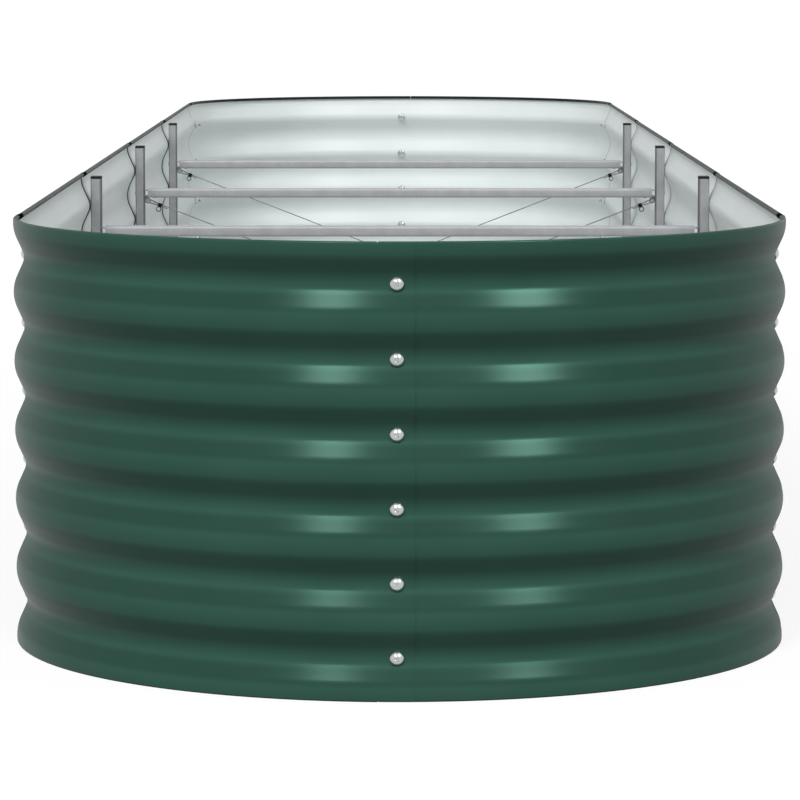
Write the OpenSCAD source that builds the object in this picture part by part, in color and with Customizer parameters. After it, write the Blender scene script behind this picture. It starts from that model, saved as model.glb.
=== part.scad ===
// Raised garden bed: an oval ring of corrugated steel panels with rolled edges, lapped and
// bolted, held in shape by three frames, each of two posts, a cross bar and two crossing wires.
// X runs across the bed, Y along it and Z up. The origin is the centre of the footprint.

/* [Bed] */
// Width over the wave crests
bed_w = 800; // [700:10:1000]
// Length of one side panel between its bolt lines
side_pitch = 850; // [600:10:1000]
// Panels along each side
side_count = 4; // [2:1:6]

/* [Sheet] */
// Thickness of the sheet
sheet_t = 0.8; // [0.5:0.1:1.2]
// Height of one wave
wave_pitch = 71.5; // [64:0.5:84]
// Waves over the height of a panel
wave_count = 6; // [4:1:9]
// Depth of the waves
wave_depth = 10.8; // [8:0.2:12.4]
// Slope of the straight flanks between crests and valleys, in degrees
flank_slope = 24.5; // [21:0.5:29]
// Bending radius of the valleys at mid sheet
valley_r = 18; // [12:1:24]
// Width and height of the rolled edge
roll = 5; // [4.6:0.1:6.5]
// Bending radius of the roll at mid sheet
roll_r = 1.5; // [1:0.1:1.7]
// Air between two lapped sheets
lap_gap = 0.2; // [0.1:0.05:0.4]
// Lap beyond a bolt line
lap_half = 17; // [12:1:24]
// Gap where one rolled edge takes over from the next
roll_gap = 1.5; // [0.5:0.5:4]
// Distance of the end seams from the centre line
seam_shift = 3; // [0:0.5:12]

/* [Bolts] */
// Diameter of the bolts
bolt_d = 6; // [5:0.5:7]
// Length of the bolts under the head
bolt_len = 14; // [13:0.5:15]
// Diameter of the bolt heads
head_d = 13.5; // [11:0.5:15]
// Height of the bolt heads
head_h = 4.7; // [3:0.1:6]
// Straight rim of the bolt heads
head_rim = 1.3; // [0.6:0.1:2]
// Diameter of the nut flanges
nut_flange_d = 15; // [12:0.5:16]
// Thickness of the nut flanges
nut_flange_t = 1.4; // [1:0.1:2]
// Height of the nuts
nut_h = 5; // [4:0.5:6]
// Width of the nuts over the flats
nut_af = 10; // [9:0.5:11]
// Play of a bolt in its hole
hole_play = 0.6; // [0.2:0.1:1]

/* [Posts] */
// Width of a post along the wall
post_w = 20; // [19.5:0.5:26]
// Depth of a post away from the wall
post_d = 13; // [12:0.5:18]
// Wall of a post
post_t = 1.6; // [1:0.1:2]
// Outer corner radius of a post
post_r = 1.5; // [0.5:0.1:2]
// Rim to the top of the post caps
post_drop = 4.5; // [0:0.5:10]
// Thickness of a post cap
cap_t = 3; // [2:0.5:5]
// Overhang of a post cap
cap_lip = 0.4; // [0:0.1:1]
// Length of the plug under a post cap
cap_plug = 10; // [5:1:15]

/* [Cross bar] */
// Height of the bar
bar_h = 13; // [12:0.5:18]
// Width of the bar
bar_w = 20; // [18:0.5:26]
// Wall of the bar
bar_t = 1.5; // [1:0.1:2]
// Corner radius of the bar
bar_r = 3; // [2:0.5:4]
// Rim to the top of the bar
bar_drop = 67; // [45:1:90]
// Gap between the end of the bar and its post
bar_gap = 5; // [5:0.5:8]
// Sheet of the bar brackets and wire lugs
bracket_t = 1.5; // [1:0.1:2]
// Reach of a bracket into the bar
bracket_reach = 20; // [16:1:40]
// Diameter of the rivets
rivet_d = 3; // [2.4:0.1:3.4]

/* [Wires] */
// Diameter of the bracing wires
wire_d = 1.8; // [1.2:0.1:2.4]
// Height of the lower ends of the wires
wire_low_z = 66; // [50:1:120]
// Diameter of the screws that hold the wires
pin_d = 3; // [2.5:0.5:4]
// Diameter of the eye that a screw passes through
eye_d = 9; // [8:0.5:12]
// Distance from a screw to the wire clamp
clamp_at = 19; // [15:1:30]
// Length of a wire clamp
clamp_len = 6; // [4:0.5:9]
// Wire that sticks out behind a clamp
wire_tail = 9; // [4:1:15]
// Outer diameter of the pull ring on a clamp
ring_d = 8; // [6:0.5:10]
// Thickness of the pull ring
ring_t = 1.4; // [1:0.1:2]

/* [Hidden] */
$fn = 32;
over = 1;
seat = 0.1;
crest_steps = 6;
valley_steps = 3;
turn_steps = 3;
loop_steps = 8;
ring_sides = 8;

bed_h = wave_count * wave_pitch + 2 * roll;
side_len = side_count * side_pitch;
end_y = side_len / 2 + lap_half;

// Two lapped sheets sit one step apart, half a step to each side of the middle
lap_step = sheet_t + lap_gap;
mid_r = bed_w / 2 - sheet_t / 2 - lap_step / 2;
valley_out = bed_w / 2 - wave_depth;
valley_in = valley_out - sheet_t - lap_step;
lap_turn = lap_half / valley_out * 180 / PI;
gap_turn = roll_gap / valley_out * 180 / PI;
skew = atan(lap_step / side_pitch);

// Straight flanks join the bends of crests and valleys, and the crests get the radius that is left
crest_r = (wave_pitch / 2 * tan(flank_slope) - wave_depth) / (1 / cos(flank_slope) - 1) - valley_r;

// Bolts sit in the valleys, and a flat head rests on the flanks above and below
bolt_zs = [for (i = [0:wave_count - 1]) roll + (i + 0.5) * wave_pitch];
head_rise = valley_rise(head_d / 2);
head_seat = valley_out + head_rise + 3 * seat;
hole_d = bolt_d + hole_play;
head_cap = head_h - head_rim;
head_ball = (head_d * head_d / 4 + head_cap * head_cap) / (2 * head_cap);

// Posts stand against the inner sheet, open towards the middle of the bed
post_out = valley_in - seat;
web_in = post_out - post_t;
post_in = post_out - post_d;
post_h = bed_h - post_drop - cap_t;
post_ys = [for (i = [1:side_count - 1]) i * side_pitch - side_len / 2];

bar_end = post_in - bar_gap;
bar_z = bed_h - bar_drop - bar_h / 2;
tab_h = bar_h - 2 * bar_t - 2 * seat;
bar_in_r = bar_r - bar_t / 2;
bracket_w = min(bar_w - 2 * bar_t - 2 * bar_in_r, post_w - 2 * post_t) - 2 * seat;
rivet_head_d = 1.7 * rivet_d;
rivet_head_t = rivet_d / 3;
bar_rivet_in = bracket_reach / 2;
lug_rise = eye_d / 2 + rivet_head_d / 2 + 2 * seat;

// Each wire keeps to its own side of the frame's middle plane, clear of the wire it crosses
wire_y = wire_d / 2 + seat * 2;
ear_y = wire_y - wire_d / 2 - seat;
eye_x = bar_end - eye_d / 2 + bar_gap;
eye_z = bar_z - bar_h / 2 - eye_d / 2 - 2 * seat;
low_x = post_in - eye_d / 2;
pin_head_d = 2 * pin_d;
pin_head_t = 2 / 3 * pin_d;
pin_nut_t = 0.8 * pin_d;
loop_r = pin_d / 2 + wire_d / 2 + seat * 2;
strand = wire_d / 2 + seat * 2;
wire_run = norm([eye_x + low_x, eye_z - wire_low_z]);
wire_fall = atan((eye_z - wire_low_z) / (eye_x + low_x));
clamp_wall = wire_d / 2;
crimp_at = clamp_at * 3 / 4;
nut_y = wire_y + wire_d / 2 + seat;

SIDES = ["left", "right"];
ENDS = ["front_left", "front_right", "back_left", "back_right"];
FRAMES = [for (side = SIDES, i = [1:side_count - 1]) str(side, "_", i)];

// Points on an arc about c, from angle a to angle b
function arc(c, r, a, b, n) = [for (i = [0:n]) let (t = a + (b - a) * i / n) c + r * [cos(t), sin(t)]];
function back(list) = [for (i = [len(list) - 1:-1:0]) list[i]];
function unit(v) = v / norm(v);
function right_of(v) = [v.y, -v.x];

// The offset from one point of an open path to its side, mitred between its two neighbours
function miter(path, i) = let (
    a = right_of(unit(path[max(i, 1)] - path[max(i, 1) - 1])),
    j = min(i, len(path) - 2),
    b = right_of(unit(path[j + 1] - path[j]))
) (a + b) / (1 + a * b);

// Gives an open path a thickness t, half of it to each side
function thick(path, t) = concat(
    [for (i = [0:len(path) - 1]) path[i] + miter(path, i) * t / 2],
    back([for (i = [0:len(path) - 1]) path[i] - miter(path, i) * t / 2]));

// The rolled edge at mid sheet, from above the last crest at r = 0 round to its lip
function roll_path() = let (
    top = bed_h - sheet_t / 2,
    low = bed_h - roll + sheet_t / 2,
    far = sheet_t - roll
) concat(
    arc([-roll_r, top - roll_r], roll_r, 0, 90, turn_steps),
    arc([far + roll_r, top - roll_r], roll_r, 90, 180, turn_steps),
    arc([far + roll_r, low + roll_r], roll_r, 180, 270, turn_steps),
    [[-sheet_t / 2 - 2 * lap_gap, low]]);

// How far the sheet stands out of a valley at a height h above or below its middle
function valley_rise(h) = let (bend_h = valley_r * sin(flank_slope)) h < bend_h
    ? valley_r - sqrt(valley_r * valley_r - h * h)
    : valley_r * (1 - cos(flank_slope)) + (h - bend_h) * tan(flank_slope);

// A crest at each end and a valley between every two crests, where the bolts sit on a flat
function wave_path() = [for (i = [0:wave_count]) let (
    z = roll + i * wave_pitch,
    from = i == 0 ? 0 : -flank_slope,
    to = i == wave_count ? 0 : flank_slope
) each concat(
    arc([-crest_r, z], crest_r, from, to, crest_steps * (to - from) / (2 * flank_slope)),
    i == wave_count ? [] : arc([valley_r - wave_depth, z + wave_pitch / 2], valley_r,
        180 + flank_slope, 180 - flank_slope, valley_steps))];

function sheet_path(r) = let (top = roll_path(), path = concat(
    back([for (p = top) [p.x, bed_h - p.y]]), wave_path(), top)
) [for (p = path) p + [r, 0]];

module sheet_section(r) {
    polygon(thick(sheet_path(r), sheet_t));
}

// What is cut from the rolls where another panel's rolls run through, at both rims
module notch_section(r) {
    edge = r - sheet_t / 2 - lap_gap / 2;
    for (z = [-over, bed_h - roll - seat])
        translate([edge - roll - over, z])
            square([roll + over, roll + seat + over]);
}

module bolt_holes() {
    for (z = bolt_zs)
        translate([valley_in - over, 0, z])
            rotate([0, 90, 0])
                cylinder(d = hole_d, h = wave_depth + over);
}

// A straight stretch of section along +Y from y = 0
module along_y(length) {
    translate([0, length, 0])
        rotate([90, 0, 0])
            linear_extrude(length)
                children();
}

// A side panel with +X outwards: the end at y = 0 laps inside and the far end outside
module side_panel() {
    translate([mid_r - lap_step / 2, 0, 0])
        rotate([0, 0, -skew])
            difference() {
                translate([0, -lap_half, 0])
                    along_y(side_pitch + 2 * lap_half)
                        sheet_section(0);
                translate([0, side_pitch - lap_half - roll_gap, 0])
                    along_y(2 * lap_half + roll_gap + over)
                        notch_section(0);
                for (y = [0, side_pitch])
                    translate([-mid_r, y, 0])
                        bolt_holes();
            }
}

// A quarter round panel from the +X side to the +Y end, with a straight flange at the side
module corner_panel(r, turn, outside) {
    difference() {
        union() {
            rotate_extrude(angle = turn + lap_turn, $fn = 180)
                sheet_section(r);
            translate([0, -2 * lap_half, 0])
                along_y(2 * lap_half)
                    sheet_section(r);
        }
        if (outside) {
            translate([0, -2 * lap_half - over, 0])
                along_y(2 * lap_half + over + roll_gap)
                    notch_section(r);
            rotate([0, 0, turn - lap_turn - gap_turn])
                rotate_extrude(angle = 2 * lap_turn + 2 * gap_turn, $fn = 180)
                    notch_section(r);
        }
        translate([0, -lap_half, 0])
            bolt_holes();
        rotate([0, 0, turn])
            bolt_holes();
    }
}

// The end seams sit a little to one side: the outside panel is the shorter one
function end_turn(outside) = 90 + (outside ? -1 : 1) * asin(seam_shift / valley_out);

module corner_panel_at(end) {
    turned = end == "front_left" || end == "front_right";
    outside = end == "back_right" || end == "front_left";
    color("#2f5447")
        rotate([0, 0, turned ? 180 : 0])
            translate([0, end_y, 0])
                mirror([outside ? 0 : 1, 0, 0])
                    corner_panel(mid_r + (outside ? 1 : -1) * lap_step / 2, end_turn(outside), outside);
}

module side_panel_at(side, i) {
    left = side == "left";
    place = left ? i : side_count + 1 - i;
    color("#2f5447")
        rotate([0, 0, left ? 0 : 180])
            translate([0, (place - 1) * side_pitch - side_len / 2, 0])
                mirror([1, 0, 0])
                    side_panel();
}

// Places a piece made with +X outwards at one end of frame i
module frame_end(side, i) {
    translate([0, post_ys[i - 1], 0])
        mirror([side == "left" ? 1 : 0, 0, 0])
            children();
}

module post(side, i) {
    color("silver")
        frame_end(side, i)
            difference() {
                linear_extrude(post_h)
                    polygon(concat(
                        [[post_in, -post_w / 2]],
                        arc([post_out - post_r, post_r - post_w / 2], post_r, -90, 0, turn_steps),
                        arc([post_out - post_r, post_w / 2 - post_r], post_r, 0, 90, turn_steps),
                        [[post_in, post_w / 2], [post_in, post_w / 2 - post_t],
                         [web_in, post_w / 2 - post_t], [web_in, post_t - post_w / 2],
                         [post_in, post_t - post_w / 2]]));
                for (z = bolt_zs)
                    translate([web_in - over, 0, z])
                        rotate([0, 90, 0])
                            cylinder(d = hole_d, h = post_t + 2 * over);
                for (z = [bar_z, wire_low_z + lug_rise])
                    translate([web_in - over, 0, z])
                        rotate([0, 90, 0])
                            cylinder(d = rivet_d + 2 * seat, h = post_t + 2 * over);
            }
}

// The outline of a rectangle with round corners
function round_box(w, h, r) = concat(
    arc([w / 2 - r, r - h / 2], r, -90, 0, turn_steps),
    arc([w / 2 - r, h / 2 - r], r, 0, 90, turn_steps),
    arc([r - w / 2, h / 2 - r], r, 90, 180, turn_steps),
    arc([r - w / 2, r - h / 2], r, 180, 270, turn_steps));

module post_cap(side, i) {
    top_w = post_w + 2 * cap_lip;
    top_d = post_d + cap_lip;
    color("black")
        frame_end(side, i) {
            translate([post_out - top_d / 2, 0, post_h])
                hull() {
                    linear_extrude(cap_t * 2 / 3)
                        polygon(round_box(top_d, top_w, post_r));
                    linear_extrude(cap_t)
                        polygon(round_box(top_d - cap_t * 2 / 3, top_w - cap_t * 2 / 3, post_r));
                }
            translate([post_in, post_t + seat - post_w / 2, post_h - cap_plug])
                cube([post_d - post_t - seat, post_w - 2 * post_t - 2 * seat, cap_plug + seat]);
        }
}

module cross_bar(i) {
    color("silver")
        translate([0, post_ys[i - 1], bar_z])
            difference() {
                translate([-bar_end, 0, 0])
                    rotate([90, 0, 90])
                        linear_extrude(2 * bar_end)
                            difference() {
                                polygon(round_box(bar_w, bar_h, bar_r));
                                polygon(round_box(bar_w - 2 * bar_t, bar_h - 2 * bar_t, bar_in_r));
                            }
                for (x = [bar_rivet_in - bar_end, bar_end - bar_rivet_in])
                    translate([x, 0, -bar_h / 2 - over])
                        cylinder(d = rivet_d + 2 * seat, h = bar_t + 2 * over);
            }
}

// A plate beside a wire, given as a box in X and Z; s says which side of the middle the wire is
module beside_wire(x_from, x_to, z_from, z_to, s) {
    translate([x_from, s > 0 ? ear_y - bracket_t : -ear_y, z_from])
        cube([x_to - x_from, bracket_t, z_to - z_from]);
}

// A round eye for a screw, joined to the plate that carries it
module eye_plate(x, z, s) {
    y = s > 0 ? ear_y - bracket_t : -ear_y;
    difference() {
        union() {
            translate([x, y + bracket_t, z])
                rotate([90, 0, 0])
                    cylinder(d = eye_d, h = bracket_t);
            children();
        }
        translate([x, y + bracket_t + over, z])
            rotate([90, 0, 0])
                cylinder(d = pin_d + 2 * seat, h = bracket_t + 2 * over);
    }
}

function upper_side(side) = side == "left" ? 1 : -1;

// A bent strap: its back is riveted in the post and its two tabs reach into the bar
module bar_bracket(side, i) {
    web_x = web_in - seat - bracket_t / 2;
    tab_z = tab_h / 2 - bracket_t / 2;
    strap = concat(
        [[bar_end - bracket_reach, -tab_z]],
        arc([web_x - bracket_t, bracket_t - tab_z], bracket_t, -90, 0, turn_steps),
        arc([web_x - bracket_t, tab_z - bracket_t], bracket_t, 0, 90, turn_steps),
        [[bar_end - bracket_reach, tab_z]]);
    color("gainsboro")
        frame_end(side, i) {
            difference() {
                translate([0, bracket_w / 2, bar_z])
                    rotate([90, 0, 0])
                        linear_extrude(bracket_w)
                            polygon(thick(strap, bracket_t));
                translate([web_in - bracket_t - over, 0, bar_z])
                    rotate([0, 90, 0])
                        cylinder(d = rivet_d + 2 * seat, h = bracket_t + 2 * over);
                translate([bar_end - bar_rivet_in, 0, bar_z - bar_h / 2])
                    cylinder(d = rivet_d + 2 * seat, h = bar_t + bracket_t + over);
            }
            eye_plate(eye_x, eye_z, upper_side(side))
                beside_wire(bar_end + 2 * seat, post_in - 2 * seat, eye_z,
                    bar_z - tab_h / 2 + bracket_t / 2, upper_side(side));
        }
}

// The anchor of a wire near the ground: a plate riveted in the post, with an eye that stands out
module wire_lug(side, i) {
    s = -upper_side(side);
    color("gainsboro")
        frame_end(side, i)
            difference() {
                eye_plate(low_x, wire_low_z, s) {
                    beside_wire(low_x, web_in - seat, wire_low_z - eye_d / 2, wire_low_z + eye_d / 2, s);
                    translate([web_in - seat - bracket_t, -bracket_w / 2, wire_low_z - eye_d / 2])
                        cube([bracket_t, bracket_w, eye_d / 2 + lug_rise + rivet_head_d]);
                }
                translate([web_in - bracket_t - over, 0, wire_low_z + lug_rise])
                    rotate([0, 90, 0])
                        cylinder(d = rivet_d + 2 * seat, h = bracket_t + 2 * over);
            }
}

// A blind rivet through a grip, from its outer head at x = 0 inwards
module rivet(grip) {
    rotate([0, -90, 0]) {
        translate([0, 0, -rivet_head_t])
            cylinder(d = rivet_d, h = grip + 2 * rivet_head_t);
        for (z = [-rivet_head_t, grip])
            translate([0, 0, z])
                cylinder(d = rivet_head_d, h = rivet_head_t);
    }
}

module bracket_rivets() {
    color("silver")
        for (side = SIDES, i = [1:side_count - 1])
            frame_end(side, i) {
                for (z = [bar_z, wire_low_z + lug_rise])
                    translate([post_out + seat, 0, z])
                        rivet(post_t + bracket_t + 3 * seat);
                translate([bar_end - bar_rivet_in, 0, bar_z - bar_h / 2 - seat])
                    rotate([0, 90, 0])
                        rivet(bar_t + bracket_t + 3 * seat);
            }
}

// The wire at mid thickness, from the upper eye at [0, 0] to the lower one at [wire_run, 0]:
// its tail, the loop round the upper screw, the long run, the lower loop and the lower tail
function wire_path() = concat(
    [[clamp_at + clamp_len / 2 + wire_tail, -strand], [clamp_at - clamp_len / 2, -strand]],
    arc([0, 0], loop_r, -90, -270, loop_steps),
    [[clamp_at - clamp_len / 2, strand], [wire_run - crimp_at + clamp_len / 2, strand]],
    arc([wire_run, 0], loop_r, 90, -90, loop_steps),
    [[wire_run - crimp_at + clamp_len / 2, -strand], [wire_run - crimp_at - clamp_len, -strand]]);

// Places what is made along the wire, X down its run and Z square to it, in frame i
module along_wire(side, i) {
    translate([0, post_ys[i - 1] + upper_side(side) * wire_y, 0])
        mirror([side == "left" ? 0 : 1, 0, 0])
            translate([-eye_x, 0, eye_z])
                rotate([0, wire_fall, 0])
                    children();
}

// A round tube swept along a flat path in X and Z
module tube_along(path, d, sides) {
    count = len(path);
    rings = [for (i = [0:count - 1], k = [0:sides - 1]) let (
        m = unit(miter(path, i)),
        a = 360 * k / sides
    ) [path[i].x + m.x * cos(a) * d / 2, sin(a) * d / 2, path[i].y + m.y * cos(a) * d / 2]];
    skin = [for (i = [0:count - 2], k = [0:sides - 1], half = [0, 1]) let (
        next = (k + 1) % sides,
        low = i * sides,
        high = low + sides
    ) half == 0 ? [low + k, low + next, high + next] : [low + k, high + next, high + k]];
    polyhedron(rings, concat(skin, [
        [for (k = [sides - 1:-1:0]) k],
        [for (k = [0:sides - 1]) (count - 1) * sides + k]]));
}

module brace_wire(side, i) {
    color("dimgray")
        along_wire(side, i)
            tube_along(wire_path(), wire_d, ring_sides);
}

// The section of a sleeve over the two strands of a loop, r round each strand
module strand_section(r) {
    for (z = [-strand, strand])
        translate([0, z])
            circle(r);
    translate([-r, -strand])
        square([2 * r, 2 * strand]);
}

module wire_sleeve() {
    rotate([90, 0, 90])
        linear_extrude(clamp_len)
            difference() {
                strand_section(wire_d / 2 + clamp_wall);
                strand_section(wire_d / 2 + seat);
            }
}

// The clamps near the bar, each with the ring that hangs from it
module wire_clamps() {
    ring_z = -strand - wire_d / 2 - clamp_wall - ring_d / 2 + ring_t / 2;
    color("black")
        for (side = SIDES, i = [1:side_count - 1])
            along_wire(side, i) {
                translate([clamp_at - clamp_len / 2, 0, 0])
                    wire_sleeve();
                translate([clamp_at, 0, ring_z])
                    rotate([90, 0, 0])
                        rotate_extrude()
                            translate([(ring_d - ring_t) / 2, 0])
                                circle(d = ring_t);
            }
}

module wire_crimps() {
    color("silver")
        for (side = SIDES, i = [1:side_count - 1])
            along_wire(side, i)
                translate([wire_run - crimp_at - clamp_len / 2, 0, 0])
                    wire_sleeve();
}

// Places what is made along +Y at both eyes of a frame's post, with Y from the middle to the wire
module at_eyes(side, i) {
    frame_end(side, i) {
        translate([eye_x, 0, eye_z])
            mirror([0, upper_side(side) > 0 ? 0 : 1, 0])
                children();
        translate([low_x, 0, wire_low_z])
            mirror([0, upper_side(side) > 0 ? 1 : 0, 0])
                children();
    }
}

module wire_screws() {
    head_y = ear_y - bracket_t - seat;
    color("silver")
        for (side = SIDES, i = [1:side_count - 1])
            at_eyes(side, i)
                translate([0, head_y, 0]) {
                    rotate([-90, 0, 0])
                        cylinder(d = pin_d, h = nut_y + pin_nut_t + pin_d / 4 - head_y);
                    rotate([90, 0, 0])
                        cylinder(d = pin_head_d, h = pin_head_t);
                }
}

module wire_nuts() {
    color("silver")
        for (side = SIDES, i = [1:side_count - 1])
            at_eyes(side, i)
                translate([0, nut_y, 0])
                    rotate([-90, 0, 0])
                        difference() {
                            cylinder(d = pin_head_d, h = pin_nut_t, $fn = 6);
                            translate([0, 0, -over])
                                cylinder(d = pin_d + seat, h = pin_nut_t + 2 * over);
                        }
}

// Puts a piece, made along +X, at each valley of a seam
module at_valleys() {
    for (z = bolt_zs)
        translate([0, 0, z])
            children();
}

module at_post_seams() {
    for (half = [0, 180], y = post_ys)
        rotate([0, 0, half])
            translate([0, y, 0])
                at_valleys()
                    children();
}

// The seams without a post: one in the middle of each end and one at each end of each side
module at_free_seams() {
    for (half = [0, 180])
        rotate([0, 0, half]) {
            translate([0, end_y, 0])
                rotate([0, 0, end_turn(true)])
                    at_valleys()
                        children();
            for (y = [-side_len / 2, side_len / 2])
                translate([0, y, 0])
                    at_valleys()
                        children();
        }
}

// A pan head bolt, its shank along -X from the seat of the head
module panel_bolt() {
    rotate([0, 90, 0]) {
        translate([0, 0, -bolt_len])
            cylinder(d = bolt_d, h = bolt_len + head_rim / 2);
        intersection() {
            cylinder(d = head_d, h = head_h);
            translate([0, 0, head_h - head_ball])
                sphere(r = head_ball, $fn = 64);
        }
    }
}

module panel_nut() {
    rotate([0, -90, 0])
        difference() {
            union() {
                cylinder(d = nut_flange_d, h = nut_flange_t);
                cylinder(d = nut_af / cos(30), h = nut_h, $fn = 6);
            }
            translate([0, 0, -over])
                cylinder(d = bolt_d + seat, h = nut_h + 2 * over);
        }
}

module panel_bolts() {
    color("gainsboro") {
        at_free_seams()
            translate([head_seat, 0, 0])
                panel_bolt();
        at_post_seams()
            translate([head_seat, 0, 0])
                panel_bolt();
    }
}

module panel_nuts() {
    color("gainsboro") {
        at_free_seams()
            translate([valley_in - seat, 0, 0])
                panel_nut();
        at_post_seams()
            translate([web_in - seat, 0, 0])
                panel_nut();
    }
}

for (end = ENDS)
    corner_panel_at(end);
for (side = SIDES, i = [1:side_count])
    side_panel_at(side, i);
for (side = SIDES, i = [1:side_count - 1]) {
    post(side, i);
    post_cap(side, i);
    bar_bracket(side, i);
    wire_lug(side, i);
    brace_wire(side, i);
}
for (i = [1:side_count - 1])
    cross_bar(i);
bracket_rivets();
wire_clamps();
wire_crimps();
wire_screws();
wire_nuts();
panel_bolts();
panel_nuts();
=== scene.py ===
"""Looks for the oval raised garden bed: corrugated coated walls, posts, bars and bracing wires."""

import math

import bmesh
import bpy
from mathutils import Matrix, Vector


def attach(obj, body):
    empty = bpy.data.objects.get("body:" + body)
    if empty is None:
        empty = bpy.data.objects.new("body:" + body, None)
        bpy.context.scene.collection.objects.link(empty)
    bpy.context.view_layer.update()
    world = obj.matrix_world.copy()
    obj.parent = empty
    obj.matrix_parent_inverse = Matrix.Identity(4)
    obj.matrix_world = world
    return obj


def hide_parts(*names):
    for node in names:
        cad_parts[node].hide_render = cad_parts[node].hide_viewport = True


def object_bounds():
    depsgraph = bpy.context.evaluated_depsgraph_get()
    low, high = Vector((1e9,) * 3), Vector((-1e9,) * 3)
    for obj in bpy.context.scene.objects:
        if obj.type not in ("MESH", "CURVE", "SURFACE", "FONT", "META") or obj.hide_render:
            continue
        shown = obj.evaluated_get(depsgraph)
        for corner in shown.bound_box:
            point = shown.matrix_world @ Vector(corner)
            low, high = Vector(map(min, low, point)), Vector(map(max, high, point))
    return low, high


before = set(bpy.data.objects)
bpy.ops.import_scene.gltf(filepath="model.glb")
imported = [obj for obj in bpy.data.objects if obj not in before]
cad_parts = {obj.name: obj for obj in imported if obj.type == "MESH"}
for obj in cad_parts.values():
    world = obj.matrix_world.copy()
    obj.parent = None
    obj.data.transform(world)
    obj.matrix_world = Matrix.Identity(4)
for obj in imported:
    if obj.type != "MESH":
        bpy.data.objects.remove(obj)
cad_low, cad_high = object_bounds()

# The camera stands low in front of one round end and looks along the bed, far enough
# back that the long sides run together only a little.
CAMERA_BACK, CAMERA_H, CAMERA_DIP = 3.7496, 0.6961, 6.19
FILM_W, LENS = 36, 180.02
camera_data = bpy.data.cameras.new("camera")
camera_data.sensor_width = FILM_W
camera_data.lens = LENS
camera = bpy.data.objects.new("camera", camera_data)
camera.location = (0, cad_low.y - CAMERA_BACK, CAMERA_H)
camera.rotation_euler = (math.radians(90 - CAMERA_DIP), 0, 0)
bpy.context.scene.collection.objects.link(camera)
bpy.context.scene.camera = camera
bpy.context.scene.view_settings.view_transform = "Standard"

# The wall panels are sheets of coated steel, roll formed into six level waves with both long
# edges curled inwards. Two shapes are enough: straight ones for the sides, bent quarters for
# the ends. Each laps over its neighbour, and where it does the outer curl is cut away.
SHEET = 0.0008
WAVES, WAVE_PITCH, WAVE_DEPTH = 6, 0.0715, 0.0108
FLANK, VALLEY_RADIUS = math.radians(24.5), 0.018
CURL, CURL_RADIUS = 0.005, 0.0015
LAP, LAP_AIR, CURL_CUT = 0.017, 0.0002, 0.0015
LAP_SHADE_STRIP = 0.008
SIDE_PITCH, SIDE_COUNT = 0.85, 4
SEAM_SHIFT = 0.003
HAIR, HAIR_TURN, CURL_SHARE = 0.0001, 0.01, 0.12
CREST_STEPS, VALLEY_STEPS, CURL_STEPS, BEND_STEPS, LAP_STEPS = 12, 8, 4, 60, 6
CREST_RADIUS = (WAVE_PITCH / 2 * math.tan(FLANK) - WAVE_DEPTH) / (
    1 / math.cos(FLANK) - 1) - VALLEY_RADIUS
BED_H = WAVES * WAVE_PITCH + 2 * CURL
LAP_STEP = SHEET + LAP_AIR
WALL = cad_high.x - SHEET / 2 - LAP_STEP / 2
VALLEY = cad_high.x - WAVE_DEPTH
SIDE_END = SIDE_COUNT * SIDE_PITCH / 2


def pick(*objects):
    """Selects nothing but these objects and makes the first one active."""
    bpy.ops.object.select_all(action="DESELECT")
    for o in objects:
        o.hide_set(False)
        o.select_set(True)
    bpy.context.view_layer.objects.active = objects[0]


def settle(piece, place=None):
    """Puts the object's place, turn and scale into its mesh."""
    if place is not None:
        piece.matrix_world = place @ piece.matrix_world
    pick(piece)
    bpy.ops.object.transform_apply(location=True, rotation=True, scale=True)
    return piece


def copy_of(piece, name, place=None):
    """A copy of a piece with a mesh of its own, moved to its place."""
    twin = piece.copy()
    twin.data = piece.data.copy()
    twin.name = twin.data.name = name
    bpy.context.scene.collection.objects.link(twin)
    return settle(twin, place)


def edit(piece):
    """Opens a piece with all of it selected."""
    pick(piece)
    bpy.ops.object.mode_set(mode="EDIT")
    bpy.ops.mesh.select_mode(type="VERT")
    bpy.ops.mesh.select_all(action="SELECT")


def mirrored_copy(model, name, place):
    """A copy in its place, with its faces turned right again where the place mirrors it."""
    twin = copy_of(model, name, place)
    if place.determinant() < 0:
        edit(twin)
        bpy.ops.mesh.flip_normals()
        bpy.ops.object.mode_set(mode="OBJECT")
    return twin


def draw_line(name, points):
    """Merges a small plane to one point and pulls that along the line."""
    bpy.ops.mesh.primitive_plane_add(size=SHEET, location=points[0])
    line = bpy.context.active_object
    line.name = name
    edit(line)
    bpy.ops.mesh.merge(type="CENTER")
    for a, b in zip(points, points[1:]):
        bpy.ops.mesh.extrude_vertices_move(TRANSFORM_OT_translate={"value": b - a})
    bpy.ops.object.mode_set(mode="OBJECT")
    return settle(line)


def choose(piece, wanted, kind="FACE"):
    """Selects the faces, edges or vertices of a piece in edit mode that fit a test."""
    bpy.ops.mesh.select_mode(type=kind)
    bpy.ops.mesh.select_all(action="DESELECT")
    bm = bmesh.from_edit_mesh(piece.data)
    for item in {"FACE": bm.faces, "EDGE": bm.edges, "VERT": bm.verts}[kind]:
        if wanted(item):
            item.select_set(True)
    bm.select_flush_mode()
    bmesh.update_edit_mesh(piece.data)


def modify(piece, kind, **settings):
    """Adds a modifier to a piece and applies it."""
    pick(piece)
    m = piece.modifiers.new(kind.lower(), kind)
    for key, value in settings.items():
        setattr(m, key, value)
    bpy.ops.object.modifier_apply(modifier=m.name)


def smooth(piece, degrees=30):
    """Shades a piece smooth, except at edges sharper than the angle."""
    pick(piece)
    bpy.ops.object.shade_smooth_by_angle(angle=math.radians(degrees))


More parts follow.
